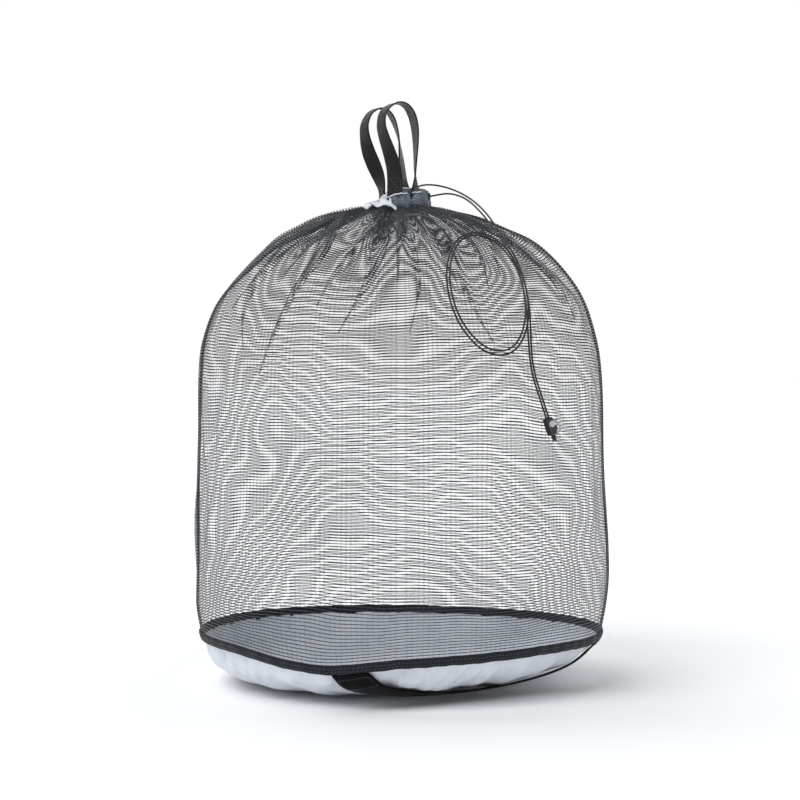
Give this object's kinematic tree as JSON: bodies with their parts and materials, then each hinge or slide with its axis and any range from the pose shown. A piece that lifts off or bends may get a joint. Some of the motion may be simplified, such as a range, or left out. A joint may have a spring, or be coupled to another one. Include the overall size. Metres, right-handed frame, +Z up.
{
  "type": "mesh laundry bag",
  "caption": "Upright round mesh laundry bag with a gathered drawcord neck, sliding cord lock, webbing carry loops, white fabric base and a grab strap across the base.",
  "frame": {"origin": "middle of the footprint of the bag, on the surface that it stands on", "axes": "+Z up towards the neck; -Y is the front, where the free drawcord lies; +X is to the right seen from the front"},
  "size_m": [0.4126, 0.4116, 0.5758],
  "materials": {
    "mesh": "open monofilament net, slightly shiny",
    "seam_tape": "woven tape, matt",
    "base_fabric": "white coated plain weave, soft sheen",
    "binding": "ribbed tape, matt",
    "webbing": "polyester webbing with a soft shine",
    "thread": "sewing thread",
    "casing": "gathered doubled mesh",
    "facing": "crumpled white lining",
    "eyelet": "tight buttonhole stitching",
    "cord": "braided round cord, semi-gloss",
    "lock_plastic": "moulded, satin gloss",
    "button_plastic": "moulded in silver grey, fine texture",
    "spring_steel": "bright wire",
    "ring_metal": "nickel plated wire, polished"
  },
  "bodies": {
    "root": {"mesh_front_panel": "mesh", "mesh_back_panel": "mesh", "side_seam_left": "seam_tape", "side_seam_right": "seam_tape", "base_panel": "base_fabric", "base_binding": "binding", "bottom_grab_strap": "webbing", "bottom_strap_stitching": "thread", "neck_casing": "casing", "neck_facing": "facing", "cord_exit_eyelet_top": "eyelet", "cord_exit_eyelet_side": "eyelet", "drawcord_in_casing": "cord", "drawcord_strand_a": "cord", "drawcord_strand_b": "cord", "cord_end_knot": "cord", "handle_front_end_left": "webbing", "handle_front_end_right": "webbing", "handle_rear_end_left": "webbing", "handle_rear_end_right": "webbing", "handle_stitching": "thread"},
    "handle_front": {"handle_front_loop": "webbing"},
    "handle_rear": {"handle_rear_loop": "webbing"},
    "cord_lock": {"cord_lock_housing": "lock_plastic", "cord_lock_spring": "spring_steel"},
    "cord_lock_button": {"cord_lock_button": "button_plastic"},
    "cord_lock_ring": {"cord_lock_ring": "ring_metal"}
  },
  "joints": [
    {"name": "handle_front_swing", "type": "hinge", "parent": "root", "child": "handle_front", "pos_m": [0, -0.022, 0.499], "axis": [1, 0, 0], "range_deg": [-10, 100], "stiffness_Nm_per_rad": 0.02},
    {"name": "handle_rear_swing", "type": "hinge", "parent": "root", "child": "handle_rear", "pos_m": [0, 0.022, 0.499], "axis": [-1, 0, 0], "range_deg": [-10, 100], "stiffness_Nm_per_rad": 0.02},
    {"name": "cord_lock_slide", "type": "slide", "parent": "root", "child": "cord_lock", "axis": [-0.3124, -0.2204, 0.924], "range_m": [0, 0.032]},
    {"name": "cord_lock_button_press", "type": "slide", "parent": "cord_lock", "child": "cord_lock_button", "axis": [-0.621, 0.7834, -0.0231], "range_m": [0, 0.0008], "stiffness_N_per_m": 200, "deforming": ["cord_lock_spring"]},
    {"name": "cord_lock_ring_swing", "type": "hinge", "parent": "cord_lock", "child": "cord_lock_ring", "pos_m": [0.14267, -0.15187, 0.26334], "axis": [0.3124, 0.2204, -0.924], "range_deg": [-10, 95]}
  ]
}
